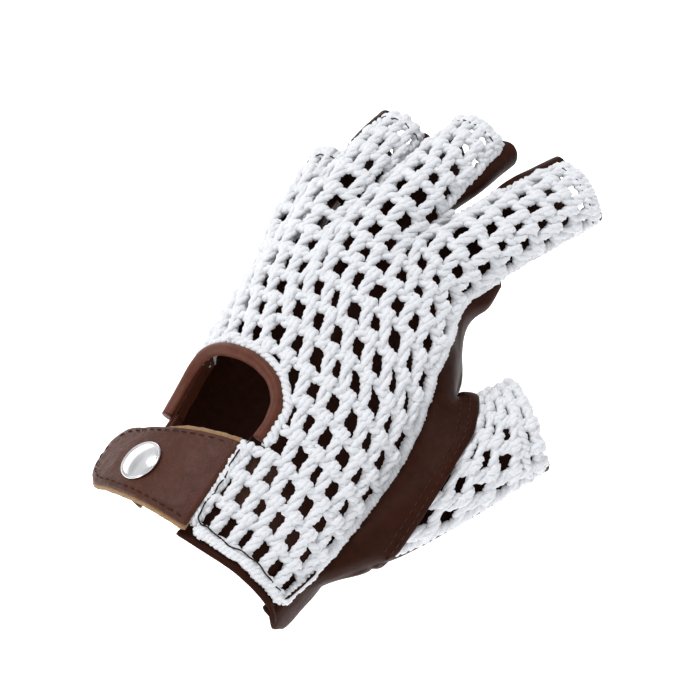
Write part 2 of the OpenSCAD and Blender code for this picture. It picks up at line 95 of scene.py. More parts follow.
# hand sections: y, left x, left z, top x, top z, right x, right z, bottom z
SECTIONS = np.array([
    [-16, -W + 5, 21, -1, H - 4, W - 3, 21, 3],
    [20, -W + 5, 19, 1, H - 2, W + 0.5, 19, 0],
    [50, -W + 2, 17, 4, H, W + 3, 17, 0],
    [78, -W, 15, 6, H, W + 2, 17, 0],
    [105, -W - 1.5, 14, 5, H - 3, W - 2, 17, 0],
    [134, -W - 1, 13, 4, H - 9, W - 2.5, 18, 2]], float)
# wrist edge: angle, y
CUFF = np.array([[-90, 16], [-45, 6], [-20, -4], [5, -15], [30, -13], [60, -11], [95, -10], [140, -5],
                 [180, 2], [225, 10], [270, 16], [315, 6], [340, -4], [365, -15], [390, -13], [400, -12]],
                float)
# stalls: base, yaw, pitch at base and end, length, half width and height at base, the same at end
FINGERS = [
    (np.array([20.5, 125, 22]), 24, -3, -12, 38, 11.7, 11.5, 11.2, 10.5),
    (np.array([-4.4, 130, 25]), 10, -6, -18, 30, 10.5, 11.3, 10.2, 10.5),
    (np.array([-24.6, 124, 23.4]), 3, -10, -20, 27, 9.0, 9.8, 8.6, 9.3),
    (np.array([-36.6, 111, 10]), -3, -1, -4, 24, 7.7, 8.6, 7.4, 8.2)]
# where the hand meets the stalls: angle, stall, angle round the stall
JOIN = np.array([[-90, 0, 205], [32, 0, 365], [86, 0, 520], [90, 1, 20], [116, 1, 160], [119, 2, 20],
                 [151, 2, 150], [156, 3, 50], [188, 3, 178], [216, 3, 320], [222, 2, 230], [247, 2, 322],
                 [251, 1, 205], [267, 1, 335], [270, 0, 205], [392, 0, 365]], float)
THUMB = np.array([[33, 38, 16], [47, 52, 17], [62, 81, 14.5]], float)
# the thumb stall's half width at its end and root, its half height at its root, and that height's loss
THUMB_END, THUMB_ROOT, THUMB_HIGH, THUMB_LOSS = 14.5, 36.0, 15.0, 2.5
# how far the panel laps over the thumb at least, and what the back adds
LAP_LEAST, LAP = 2.0, 6.0
# the lap's height over the thumb with crochet under it and without, and at the seam
LAP_LIFT, LAP_LOW, RIM_LIFT = 3.4, 0.9, 2.4
# crochet round each stall: from, to, and how far its two edges draw in at the end
CROCHET = [(6, 160, 0, 16), (21, 159, 20, 8), (21, 164, 18, 30), (62, 177, 0, 0)]
CROCHET_EDGE = np.array([[0, 26], [0.15, 17], [0.4, 16], [0.54, 24], [0.68, 36], [0.82, 34], [1, 30]], float)
NAMES = ["index", "middle", "ring", "little"]


def sin_deg(a):
    return np.sin(np.radians(a))


def cos_deg(a):
    return np.cos(np.radians(a))


def ease(t):
    u = np.clip(t, 0, 1)
    return u * u * (3 - 2 * u)


def powered(v, p):
    return np.sign(v) * np.abs(v) ** p


def unit(v):
    return v / np.maximum(np.linalg.norm(v, axis=-1, keepdims=True), 1e-12)


def arrays(*values):
    return np.broadcast_arrays(*[np.asarray(v, float) for v in values])


def smooth(table, key):
    """Smooth curve through a table's rows, by its first column."""
    x, n = table[:, 0], len(table)
    i = np.clip(np.searchsorted(x, key) - 1, 0, n - 2)
    g = (x[i + 1] - x[i])[..., None]
    t = np.clip((np.asarray(key, float) - x[i])[..., None] / g, 0, 1)
    lo, hi = np.maximum(np.arange(n) - 1, 0), np.minimum(np.arange(n) + 1, n - 1)
    m = (table[hi] - table[lo]) / (x[hi] - x[lo])[:, None]
    return ((2 * t**3 - 3 * t * t + 1) * table[i] + (t**3 - 2 * t * t + t) * g * m[i]
            + (3 * t * t - 2 * t**3) * table[i + 1] + (t**3 - t * t) * g * m[i + 1])


def cuff(a):
    return smooth(CUFF, a)[..., 1]


def crochet_edge(v):
    return smooth(CROCHET_EDGE, v)[..., 1]


def hand(a, y):
    a, y = arrays(a, y)
    s, c, sn = smooth(SECTIONS, y), cos_deg(a), sin_deg(a)
    n = np.where(sn > 0, BACK_POWER, PALM_POWER)
    x = s[..., 3] + np.where(c > 0, s[..., 5] - s[..., 3], s[..., 3] - s[..., 1]) * powered(c, 2 / n)
    middle = np.where(c > 0, s[..., 6], s[..., 2])
    z = middle + np.where(sn > 0, s[..., 4] - middle, middle - s[..., 7]) * powered(sn, 2 / n)
    return np.stack([x, y, np.maximum(z, 0)], -1)


def stall(k, a, t, off=0.0):
    """Point of stall k, a degrees round it, t = 0 at its base and 1 at its end."""
    base, yaw, p0, p1, length, a0, b0, a1, b1 = FINGERS[k]
    a, t, off = arrays(a, t, off)
    d, p = np.radians(p1 - p0), np.radians(p0 + (p1 - p0) * t)
    run, rise = (np.sin(p) - sin_deg(p0)) / d, (cos_deg(p0) - np.cos(p)) / d
    sy, cy = sin_deg(yaw), cos_deg(yaw)
    centre = base + length * np.stack([sy * run, cy * run, rise], -1)
    u = np.array([cy, -sy, 0.0])
    v = np.cross(np.broadcast_to(u, centre.shape), np.stack([sy * np.cos(p), cy * np.cos(p), np.sin(p)], -1))
    q = np.maximum(-0.3, t)
    wide, high = a0 + (a1 - a0) * q + off, b0 + (b1 - b0) * q + off
    turn = np.radians(a)
    return centre + (wide * np.cos(turn))[..., None] * u + (high * np.sin(turn))[..., None] * v


def target(a, back):
    """The hand's angle carried on to the stall that it runs into, back mm before its base."""
    a, back = arrays(a, back)
    i = np.clip(np.searchsorted(JOIN[:, 0], a) - 1, 0, len(JOIN) - 2)
    p, q = JOIN[i], JOIN[i + 1]
    t = np.clip((a - p[..., 0]) / (q[..., 0] - p[..., 0]), 0, 1)
    same = p[..., 1] == q[..., 1]

    def pick(which, angle):
        r = np.zeros(a.shape + (3,))
        for k in range(4):
            m = which == k
            r[m] = stall(k, angle[m], -back[m] / FINGERS[k][4])
        return r

    first = pick(p[..., 1], np.where(same, p[..., 2] + (q[..., 2] - p[..., 2]) * t, p[..., 2]))
    share = np.where(same, 0, t)[..., None]
    return (1 - share) * first + share * pick(q[..., 1], q[..., 2])


def end_y(a):
    return target(a, 0)[..., 1] - JOINT_GAP


def glove(a, v):
    """Point of the hand, v = 0 at the wrist edge and 1 at the stalls."""
    a, v = arrays(a, v)
    y0, y1 = cuff(a), end_y(a)
    y = y0 + (y1 - y0) * v
    b = ease((v - BLEND_FROM) / (1 - BLEND_FROM))[..., None]
    return (1 - b) * hand(a, y) + b * target(a, JOINT_GAP + (y1 - y0) * (1 - v))


def v_of(a, y):
    return (y - cuff(a)) / (end_y(a) - cuff(a))


def out(f, u, v, off, du=1.0, dv=0.01):
    """Moves a surface's points out along its normals."""
    u, v, off = arrays(u, v, off)
    normal = unit(np.cross(f(u, v + dv) - f(u, v - dv), f(u + du, v) - f(u - du, v)))
    return f(u, v) + off[..., None] * normal


def above(points, low=0.0):
    """The points, lifted to a level where they lie lower."""
    points[..., 2] = np.maximum(points[..., 2], low)
    return points


def skin(a, v, off=0.0):
    return above(out(glove, a, v, off))


def thumb(a, t, off=0.0):
    a, t, off = arrays(a, t, off)
    q = t[..., None]
    centre = (1 - q)**2 * THUMB[0] + 2 * q * (1 - q) * THUMB[1] + q * q * THUMB[2]
    d = unit((1 - q) * (THUMB[1] - THUMB[0]) + q * (THUMB[2] - THUMB[1]))
    b, zero = np.maximum(q, 0)**0.8, np.zeros(t.shape)
    u = unit((1 - b) * np.array([0.1, 1, 0]) + b * np.stack([-d[..., 1], d[..., 0], zero], -1))
    wide = THUMB_END + (THUMB_ROOT - THUMB_END) * (1 - np.minimum(t, 1))**1.8 + off
    high = (THUMB_HIGH - THUMB_LOSS * t + off) * sin_deg(a)
    return centre + (wide * cos_deg(a))[..., None] * u + np.stack([zero, zero, high], -1)


def thumb_t(a, x, off=0.0):
    """t at which the thumb stall crosses the plane at x."""
    a, off = arrays(a, off)
    lo, hi = np.zeros(a.shape), np.ones(a.shape)
    for _ in range(18):
        m = (lo + hi) / 2
        before = thumb(a, m, off)[..., 0] < x
        lo, hi = np.where(before, m, lo), np.where(before, hi, m)
    return (lo + hi) / 2


def thumb_stop(a):
    return 1.0 + 0.06 * cos_deg(a)


def thumb_cut(a):
    """x of the thumb seam, by angle round the thumb."""
    return THUMB_X - CROTCH_IN * np.maximum(0, cos_deg(a))


def lap_reach(m):
    """How far the thumb panel laps over the thumb past its seam, in x."""
    back = np.maximum(0, sin_deg(m))
    return LAP_LEAST + LAP * back**0.55 * (0.3 + 0.7 * ease((m - 8) / 42))


def crochet_from(k, t):
    return CROCHET[k][0] + CROCHET[k][2] * np.clip(t, 0, 1)


def crochet_to(k, t):
    return CROCHET[k][1] - CROCHET[k][3] * np.clip(t, 0, 1)


def keyhole(half, base, top, n=80):
    """Angles and y of an arch round the keyhole."""
    s = np.radians(np.linspace(0, 180, n))
    return KEYHOLE_MID - half * powered(np.cos(s), 0.8), base + (top - base) * np.sin(s)**0.65


def run_along(points):
    """Distance along a line to each of its points."""
    return np.concatenate([[0], np.cumsum(np.linalg.norm(np.diff(points, axis=0), axis=-1))])


# ---------------------------------------------------------------- materials
class Nodes:
    """Short hand for building one material's nodes."""

    def __init__(self, name):
        self.material = bpy.data.materials.new(name)
        self.material.use_nodes = True
        self.tree = self.material.node_tree
        self.shader = self.tree.nodes["Principled BSDF"]
        self.where = self.tree.nodes.new("ShaderNodeTexCoord").outputs["Object"]

    def plug(self, socket, value):
        """Links an output to a socket, or sets the socket's own value."""
        if isinstance(value, bpy.types.NodeSocket):
            self.tree.links.new(value, socket)
        elif isinstance(value, tuple) and len(socket.default_value) == 4:
            socket.default_value = (*value, 1)
        else:
            socket.default_value = value

    def add(self, kind, **values):
        node = self.tree.nodes.new("ShaderNode" + kind)
        for key, value in values.items():
            if hasattr(node, key):
                setattr(node, key, value)
            else:
                self.plug(node.inputs[key.replace("_", " ")], value)
        return node

    def noise(self, scale, detail=3.0, rough=0.5):
        node = self.add("TexNoise", Vector=self.where, Scale=scale, Detail=detail, Roughness=rough)
        return node.outputs["Fac"]

    def cells(self, scale):
        node = self.add("TexVoronoi", feature="DISTANCE_TO_EDGE", Vector=self.where, Scale=scale)
        return node.outputs["Distance"]

    def math(self, operation, a, b=0.0):
        node = self.tree.nodes.new("ShaderNodeMath")
        node.operation = operation
        self.plug(node.inputs[0], a)
        self.plug(node.inputs[1], b)
        return node.outputs[0]

    def ramp(self, value, stops):
        node = self.add("ValToRGB", Fac=value)
        while len(node.color_ramp.elements) < len(stops):
            node.color_ramp.elements.new(0.5)
        for element, (place, color) in zip(node.color_ramp.elements, stops):
            element.position = place
            element.color = (*color, 1) if isinstance(color, tuple) else (color, color, color, 1)
        return node.outputs["Color"]

    def mix(self, share, a, b):
        node = self.tree.nodes.new("ShaderNodeMix")
        node.data_type = "RGBA"
        for i, value in ((0, share), (6, a), (7, b)):  # the factor and the two colours
            self.plug(node.inputs[i], value)
        return node.outputs[2]

    def bump(self, height, strength, distance, **under):
        node = self.add("Bump", Height=height, Strength=strength, Distance=distance, **under)
        return node.outputs["Normal"]

    def finish(self, **values):
        for key, value in values.items():
            self.plug(self.shader.inputs[key.replace("_", " ")], value)
        return self.material


def leather_material(name, dark, light, grain=2600.0, creases=0.5, rough=0.46, gloss=0.1):
    m = Nodes(name)
    tone = m.mix(m.noise(45, 4, 0.6), dark, light)
    tone = m.mix(m.ramp(m.noise(420, 3), [(0.35, 0.0), (0.7, 0.35)]), tone, tuple(0.55 * c for c in dark))
    crease = m.ramp(m.noise(150, 5, 0.62), [(0.42, 0.0), (0.5, 1.0), (0.58, 0.0)])
    normal = m.bump(m.ramp(m.cells(grain), [(0.0, 0.0), (0.22, 1.0)]), 0.35, 0.00006)
    normal = m.bump(m.noise(grain * 2.2, 2), 0.2, 0.00004, Normal=normal)
    normal = m.bump(m.math("MULTIPLY", crease, -1.0), creases, 0.0001, Normal=normal)
    shine = m.math("ADD", m.math("MULTIPLY", m.noise(240, 3), 0.22), rough - 0.11)
    return m.finish(Base_Color=tone, Roughness=shine, Normal=normal, Specular_IOR_Level=gloss)


def yarn_material():
    m = Nodes("cotton_yarn")
    tone = m.mix(m.noise(700, 3), (0.68, 0.69, 0.715), (0.83, 0.835, 0.85))
    fluff = m.bump(m.noise(1700, 3, 0.6), 0.7, 0.0003)
    normal = m.bump(m.noise(5200, 4, 0.7), 0.8, 0.00015, Normal=fluff)
    return m.finish(Base_Color=tone, Roughness=0.92, Normal=normal, Specular_IOR_Level=0.2, Sheen_Weight=0.35,
                    Sheen_Roughness=0.6, Subsurface_Weight=0.12, Subsurface_Radius=(0.002, 0.002, 0.002),
                    Subsurface_Scale=0.3)


def suede_material(name, dark, light, nap):
    m = Nodes(name)
    tone = m.mix(m.noise(900, 4, 0.7), dark, light)
    tone = m.mix(m.ramp(m.noise(3800, 3), [(0.45, 0.0), (0.7, 0.7)]), tone, nap)
    normal = m.bump(m.noise(4200, 4, 0.8), 0.9, 0.0002)
    return m.finish(Base_Color=tone, Roughness=0.95, Normal=normal, Specular_IOR_Level=0.15, Sheen_Weight=0.3)


def thread_material(name, dark, light):
    m = Nodes(name)
    tone = m.mix(m.noise(3000, 2), dark, light)
    return m.finish(Base_Color=tone, Roughness=0.7, Normal=m.bump(m.noise(9000, 2), 0.4, 0.00004),
                    Specular_IOR_Level=0.12)


def metal_material(name, color, rough, wear):
    """Metal with fine wear, and broad soft darker streaks that are painted reflections."""
    m = Nodes(name)
    # stretched coordinates for the broad streaks of painted reflection
    reflection_stretch = m.add("Mapping", Vector=m.where, Scale=(260.0, 60.0, 60.0), Rotation=(0.0, 0.0, -0.6))
    painted_reflection = m.add("TexNoise", Vector=reflection_stretch.outputs["Vector"], Scale=1.0, Detail=2.0, Roughness=0.4)
    worn, reflection_dark = tuple(0.8 * c for c in color), tuple(0.5 * c for c in color)
    tone = m.mix(m.ramp(m.noise(500, 4, 0.65), [(0.4, 0.0), (0.75, wear)]), color, worn)
    # painted reflection: the base colour darkened in broad soft streaks
    tone = m.mix(m.ramp(painted_reflection.outputs["Fac"], [(0.42, 0.0), (0.62, 0.6)]), tone, reflection_dark)
    shine = m.math("ADD", m.math("MULTIPLY", m.noise(900, 4, 0.7), 0.12), rough)
    normal = m.bump(m.noise(1400, 3), 0.06, 0.00005)
    return m.finish(Base_Color=tone, Metallic=1.0, Roughness=shine, Normal=normal)


LEATHER = leather_material("leather", (0.017, 0.0046, 0.0022), (0.042, 0.012, 0.0056), gloss=0.05)
LEATHER_STRAP = leather_material("leather_strap", (0.05, 0.0155, 0.009), (0.095, 0.031, 0.018),
                                 grain=2300, creases=0.8, rough=0.4, gloss=0.14)
LEATHER_ROLL = leather_material("leather_binding", (0.075, 0.02, 0.01), (0.14, 0.042, 0.022),
                                grain=2800, creases=0.35, rough=0.42, gloss=0.16)
YARN = yarn_material()
SUEDE = suede_material("raw_suede", (0.16, 0.075, 0.03), (0.36, 0.2, 0.09), (0.5, 0.33, 0.17))
FLESH_SIDE = suede_material("flesh_side", (0.035, 0.014, 0.008), (0.085, 0.035, 0.02), (0.14, 0.07, 0.04))
THREAD = thread_material("black_thread", (0.006, 0.005, 0.006), (0.03, 0.022, 0.022))
THREAD_BROWN = thread_material("brown_thread", (0.02, 0.008, 0.006), (0.055, 0.022, 0.016))
NICKEL = metal_material("polished_nickel", (0.93, 0.92, 0.92), 0.12, 0.2)
STEEL = metal_material("spring_wire", (0.55, 0.55, 0.56), 0.2, 0.4)


# ---------------------------------------------------------------- mesh tools
def face_outward(mesh):
    b = bmesh.new()
    b.from_mesh(mesh)
    bmesh.ops.recalc_face_normals(b, faces=b.faces)
    b.to_mesh(mesh)
    b.free()


def piece(name, shape, material, slot, body=None, nodes=()):
    """One shown piece from points in CAD millimetres and faces; tubes already have outward faces."""
    verts, faces = shape
    mesh = bpy.data.meshes.new(name)
    mesh.from_pydata(metres(verts).tolist(), [], [[int(i) for i in face] for face in faces])
    mesh.validate()
    mesh.polygons.foreach_set("use_smooth", [True] * len(mesh.polygons))
    if slot not in ("cotton", "thread"):
        face_outward(mesh)
    mesh.materials.append(material)
    obj = add_object(name, mesh)
    if nodes:
        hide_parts(*nodes)
    if body:
        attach(obj, body)
    return obj


def join_parts(parts):
    """One list of points and faces from several."""
    verts, faces, start = [], [], 0
    for v, f in parts:
        verts.append(v)
        faces.extend([[i + start for i in face] for face in f])
        start += len(v)
    return np.concatenate(verts), faces


EDGE_ROUND = 0.45  # how far a sheet's edge bulges, as a share of its thickness


def shell(outer, inner, around=False):
    """Closed sheet between two grids, with rounded edges."""
    nu, nv = outer.shape[:2]
    thick = np.linalg.norm(outer - inner, axis=-1, keepdims=True)
    size = nu * nv
    verts = [outer.reshape(-1, 3), inner.reshape(-1, 3)]
    faces = []
    for i in range(nu if around else nu - 1):
        k = (i + 1) % nu
        for j in range(nv - 1):
            a, b, c, d = i * nv + j, k * nv + j, k * nv + j + 1, i * nv + j + 1
            faces += [[a, d, c, b], [size + a, size + b, size + c, size + d]]
    loops = [[(i, 0) for i in range(nu)], [(i, nv - 1) for i in range(nu)]] if around else [
        [(i, 0) for i in range(nu)] + [(nu - 1, j) for j in range(1, nv)]
        + [(i, nv - 1) for i in range(nu - 2, -1, -1)] + [(0, j) for j in range(nv - 2, 0, -1)]]
    start = 2 * size
    for loop in loops:
        rim = []
        for i, j in loop:
            inside = (min(max(i, 1), nu - 2) if not around else i, min(max(j, 1), nv - 2))
            away = unit(outer[i, j] - outer[inside] + 1e-9)
            rim.append((outer[i, j] + inner[i, j]) / 2 + away * thick[i, j] * EDGE_ROUND)
        verts.append(np.array(rim))
        n = len(loop)
        for m in range(n):
            q = (m + 1) % n
            o0, o1 = loop[m][0] * nv + loop[m][1], loop[q][0] * nv + loop[q][1]
            faces += [[o0, o1, start + q, start + m], [start + m, start + q, size + o1, size + o0]]
        start += n
    return np.concatenate(verts), faces


def ripple(points, size, amount, seed=0.0):
    """Small soft folds, as a signed height at each point."""
    flat = points.reshape(-1, 3) / size + seed
    return amount * np.array([noise.fractal(Vector(p), 1.0, 2.0, 3) for p in flat]).reshape(points.shape[:-1])


def ring_quads(grid):
    """Quads between one closed ring of point numbers and the next."""
    after = np.roll(grid, -1, axis=-1)
    corners = [grid[..., :-1, :], after[..., :-1, :], after[..., 1:, :], grid[..., 1:, :]]
    return np.stack(corners, -1).reshape(-1, 4).tolist()


def tube_group(paths, radius, sides=7, ply=0.16, pitch=3.4):
    """Closed tubes along paths of the same length, with two twisted plies: points and faces."""
    m, n = paths.shape[:2]
    along = unit(np.gradient(paths, axis=1))
    side = unit(np.cross(along[:, 0], np.array([0.31, 0.17, 0.93])))
    sides_at = [side]
    for i in range(1, n):
        side = unit(side - (side * along[:, i]).sum(-1, keepdims=True) * along[:, i])
        sides_at.append(side)
    side = np.stack(sides_at, 1)
    other = np.cross(along, side)
    steps = np.linalg.norm(np.diff(paths, axis=1), axis=-1)
    run = np.concatenate([np.zeros((m, 1)), np.cumsum(steps, 1)], 1)
    phi = np.linspace(0, 2 * np.pi, sides, endpoint=False)
    start = rng.uniform(0, 6.28, (m, 1, 1))
    size = radius * (1 + ply * np.cos(2 * phi - 4 * np.pi * run[..., None] / pitch + start))
    close = np.ones(n)
    close[[0, -1]] = 0.45
    close[[1, -2]] = 0.85
    size = size * close[None, :, None]
    ring = paths[:, :, None] + size[..., None] * (
        np.cos(phi)[:, None] * side[:, :, None] + np.sin(phi)[:, None] * other[:, :, None])
    grid = np.arange(m * n * sides).reshape(m, n, sides)
    return ring.reshape(-1, 3), ring_quads(grid) + grid[:, 0, ::-1].tolist() + grid[:, -1].tolist()


def tubes(paths, radius, **look):
    """Tubes along paths of any lengths."""
    groups = {}
    for p in paths:
        groups.setdefault(len(p), []).append(p)
    return join_parts([tube_group(np.array(g), radius, **look) for g in groups.values()])


def bend(obj):
    """Bakes the piece's placement into its mesh."""
    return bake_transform(obj)


def bend_thumb(obj):
    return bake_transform(obj)


# ---------------------------------------------------------------- crochet
COLUMNS, ROWS = 14, 14
ROW_START = 0.035
STRAND = 1.04  # radius of one strand of the yarn
# where the stalls part, as shares of the back's width and as angles
STALL_SHARES, STALL_ANGLES = (0, 0.33, 0.61, 0.82, 1), (30, 88, 117.5, 153.5, SIDE_SEAM)


def spread_table():
    """Angle of each column line at each v: evenly spaced at the wrist, by stalls at the knuckles."""
    vs, share = np.linspace(0, 1, 57), np.linspace(0, 1, 141)
    fine = np.linspace(0, 1, 241)
    knuckles = np.interp(share, STALL_SHARES, STALL_ANGLES)
    rows = []
    for v in vs:
        a = crochet_edge(v) + (SIDE_SEAM - crochet_edge(v)) * fine
        run = run_along(glove(a, v))
        even = np.interp(share, run / run[-1], a)
        w = ease((v - 0.6) / 0.4)
        rows.append((1 - w) * even + w * knuckles)
    return np.array(rows)


SPREAD = spread_table()


def spread(share, v):
    """Angle at a share of the back's width, which goes on straight past its edges."""
    n, m = SPREAD.shape
    x, y = np.clip(share, 0, 1) * (m - 1), np.clip(v, 0, 1) * (n - 1)
    i, j = np.clip(y.astype(int), 0, n - 2), np.clip(x.astype(int), 0, m - 2)
    fy, fx = y - i, x - j
    beyond = (share - np.clip(share, 0, 1)) * 150
    return ((1 - fy) * ((1 - fx) * SPREAD[i, j] + fx * SPREAD[i, j + 1])
            + fy * ((1 - fx) * SPREAD[i + 1, j] + fx * SPREAD[i + 1, j + 1])) + beyond


def on_hand(c, r, lift):
    """Place of column c and row r on the back, lift mm over the skin, and whether crochet is there."""
    c, r, lift = arrays(c, r, lift)
    v = ROW_START + (1 - ROW_START) * r / ROWS
    a = spread(c / COLUMNS, v)
    p = out(glove, a, v, lift)
    x, y = p[..., 0], p[..., 1]
    across = np.abs(a - KEYHOLE_MID) / 45
    along = np.maximum(y - KEYHOLE_BASE, 0) / (KEYHOLE_TOP - KEYHOLE_BASE)
    in_key = (y > KEYHOLE_BASE) & (across < 1) & (across**2.5 + along**3.08 < 1)
    beside_key = (y < KEYHOLE_TOP - 3) & (a > 168)
    in_vent = (y <= KEYHOLE_BASE) & ((x < VENT_X + 1.2) | (a > 100))
    return p, ~(in_key | beside_key | in_vent)


def on_stall(k, columns, rows):
    """The same on stall k."""
    def place(c, r, lift):
        c, r, lift = arrays(c, r, lift)
        t = r / rows - 0.03
        a = crochet_from(k, t) + (crochet_to(k, t) - crochet_from(k, t)) * c / columns
        p = stall(k, a, t, lift)
        return p, np.ones(c.shape, bool)
    return place


def on_thumb(columns, rows):
    """The same on the thumb, starting under the panel's lap."""
    first, width, under = 12, 156, 1.8

    def place(c, r, lift):
        c, r, lift = arrays(c, r, lift)
        a = first + width * c / columns
        t0 = thumb_t(a, thumb_cut(a) + lap_reach(a) - under)
        t = t0 + (thumb_stop(a) - t0) * r / rows
        return thumb(a, t, lift), np.ones(c.shape, bool)
    return place


def kept(place, c, r, lift):
    """The stretches of each path where there is crochet."""
    points, there = place(c, r, lift)
    paths = []
    for p, k in zip(points, there):
        edges = np.flatnonzero(np.diff(np.concatenate([[0], k.astype(int), [0]])))
        paths += [p[i:j] for i, j in zip(edges[::2], edges[1::2]) if j - i > 5]
    return paths


def posts(place, columns, rows, parity=0, wide=0.15, lean=0.2, loop=0.17):
    """Tall stitches between the rows: three strands twisted together, and two loops that tie them off."""
    at = [(i + 0.5 * ((r + parity) % 2), r) for r in range(rows) for i in range(columns + 1)]
    at = np.array([(c, r) for c, r in at if 0.2 <= c <= columns - 0.2])
    c = at[:, :1] + rng.normal(0, 0.05, (len(at), 1))
    r = at[:, 1:] + rng.normal(0, 0.025, (len(at), 1))
    slant = lean + rng.normal(0, 0.08, c.shape)
    paths = []
    t = np.linspace(0, 1, 22)
    belly = np.sin(np.pi * t)**0.5
    for phase in (0, 2.1, 4.2):
        turn = 2 * np.pi * 0.8 * t + phase + rng.normal(0, 0.25, c.shape)
        paths += kept(place, c + wide * (0.75 + 0.25 * belly) * np.cos(turn) + slant * (t - 0.5),
                      r - 0.09 + 1.18 * t, 0.35 + (0.85 * np.sin(turn)) * (0.55 + 0.45 * belly))
    # loops over the row above, crossing it on a slant
    q = np.linspace(-0.1, 1.1, 24)
    ring = 2 * np.pi * q
    for lag in (0.0, 0.17):
        paths += kept(place, c + slant / 2 + 0.2 * (q - 0.5) + lag - 0.08,
                      r + 1 + loop * np.cos(ring), 0.45 + 1.35 * np.sin(ring))
    return paths


def bars(place, columns, rows, wide=0.09):
    """Chains that run across between the rows: two strands twisted together."""
    paths = []
    c = np.linspace(-0.05, columns + 0.05, columns * 13)[None]
    for r in range(rows + 1):
        for phase in (0, np.pi):
            turn = 2 * np.pi * c * 1.15 + phase + rng.uniform(0, 0.6)
            wave = 0.04 * np.sin(c * 2.3 + r) + 0.025 * np.sin(c * 5.1 + 2.7 * r)
            paths += kept(place, c, np.full(c.shape, float(r)) + wide * np.cos(turn) + wave,
                          0.3 + 0.75 * np.sin(turn))
    return paths


def rope(points, normals, turns, strands=2, wide=0.8):
    """Strands twisted along a line: an edging."""
    along = unit(np.gradient(points, axis=0))
    side = unit(np.cross(along, normals))
    t = np.linspace(0, 1, len(points))[:, None]
    wide = wide * (1 + 0.16 * np.sin(2 * np.pi * turns * t * 0.83 + rng.uniform(0, 6)))
    points = points + 0.22 * np.sin(2 * np.pi * turns * t * 0.37 + rng.uniform(0, 6)) * side
    phases = [2 * np.pi * turns * t + 2 * np.pi * k / strands for k in range(strands)]
    return [points + wide * np.cos(phase) * side + wide * np.sin(phase) * normals for phase in phases]


def rope_on(f, u, v, off, turns, wide):
    """Rope along the line u, v of a surface f(u, v, off)."""
    line = f(u, v, off)
    return rope(line, unit(f(u, v, off + 1) - line), turns, wide=wide)


def skin_line(a, y, off, spacing=0.7):
    """Even points and normals along a line of angles and y on the skin."""
    a, y = arrays(a, y)
    run = run_along(skin(a, v_of(a, y), off))
    s = np.linspace(0, run[-1], max(8, int(run[-1] / spacing)))
    a, y = np.interp(s, run, a), np.interp(s, run, y)
    p = skin(a, v_of(a, y), off)
    return p, unit(skin(a, v_of(a, y), off + 1) - p), run[-1]


def edging(a, y, off=0.4, pitch=4.2, strands=3, wide=0.8):
    p, n, length = skin_line(a, y, off)
    return rope(p, n, length / pitch, strands, wide)


yarn = posts(on_hand, COLUMNS, ROWS) + bars(on_hand, COLUMNS, ROWS)
vs = np.linspace(ROW_START, 0.995, 60)
edge_a = crochet_edge(vs)
yarn += edging(edge_a + 0.6, cuff(edge_a) + (end_y(edge_a) - cuff(edge_a)) * vs, 0.3, wide=0.95)
side_a = np.full(36, SIDE_SEAM - 1.0)
side_y = np.linspace(KEYHOLE_TOP - 4, end_y(side_a[0]) - 0.5, len(side_a))
yarn += edging(side_a, side_y, 0.2, wide=0.9)
hem_a = np.linspace(27, 88, 40)
yarn += edging(hem_a, cuff(hem_a) + 4.2, 0.4, wide=1.05)
vent_y = np.linspace(-5.5, 24, 30)
vent_a = np.interp(vent_y, vent_y[[0, -1]], [90.5, 91.8])
yarn += edging(vent_a, vent_y, 0.4, 5.0, wide=1.25)
key_a, key_y = keyhole(43.6, KEYHOLE_BASE + 1, KEYHOLE_TOP + 0.4)
yarn += edging(key_a[key_a < 167], key_y[key_a < 167], 0.3, strands=2, wide=0.7)
piece("crochet_back_yarn", tubes(yarn, STRAND), YARN, "cotton", "hand", ["crochet_back"])

# crochet on the stalls: columns and rows of each
STALL_STITCHES = [(5, 5), (4, 4), (4, 3), (3, 3)]
for k, (columns, rows) in enumerate(STALL_STITCHES):
    place, around_stall = on_stall(k, columns, rows), partial(stall, k)
    yarn = posts(place, columns, rows, parity=ROWS, loop=0.21) + bars(place, columns, rows, wide=0.1)
    t = np.linspace(-0.02, 1.0, 40)
    for a in (crochet_from(k, t) + 2, crochet_to(k, t) - 2):
        yarn += rope_on(around_stall, a, t, 0.2, FINGERS[k][4] / 4.2, 0.85)
    a = np.linspace(crochet_from(k, 1) + 1, crochet_to(k, 1) - 1, 44)
    for t, lift in ((1.0, 0.3), (0.94, 0.6)):
        yarn += rope_on(around_stall, a, t, lift, run_along(stall(k, a, t, lift))[-1] / 4, 0.8)
    bend(piece(NAMES[k] + "_yarn", tubes(yarn, STRAND), YARN, "cotton", None, [NAMES[k] + "_crochet"]))

# crochet on the thumb
THUMB_COLUMNS, THUMB_ROWS, THUMB_TURNS = 6, 5, 11
place = on_thumb(THUMB_COLUMNS, THUMB_ROWS)
yarn = (posts(place, THUMB_COLUMNS, THUMB_ROWS, parity=1, loop=0.22)
        + bars(place, THUMB_COLUMNS, THUMB_ROWS, wide=0.11))
for a in (14.0, 168.5):
    t = np.linspace(thumb_t(a, thumb_cut(a) + lap_reach(a) - 0.6), thumb_stop(a), 60)
    yarn += rope_on(thumb, a, t, 0.2, THUMB_TURNS, 0.85)
a = np.linspace(13, 173, 60)
for back, lift in ((0.0, 0.3), (0.06, 0.6)):
    yarn += rope_on(thumb, a, thumb_stop(a) - back, lift, THUMB_TURNS, 0.8)
bend_thumb(piece("thumb_yarn", tubes(yarn, STRAND), YARN, "cotton", None, ["thumb_crochet"]))

# ---------------------------------------------------------------- leather


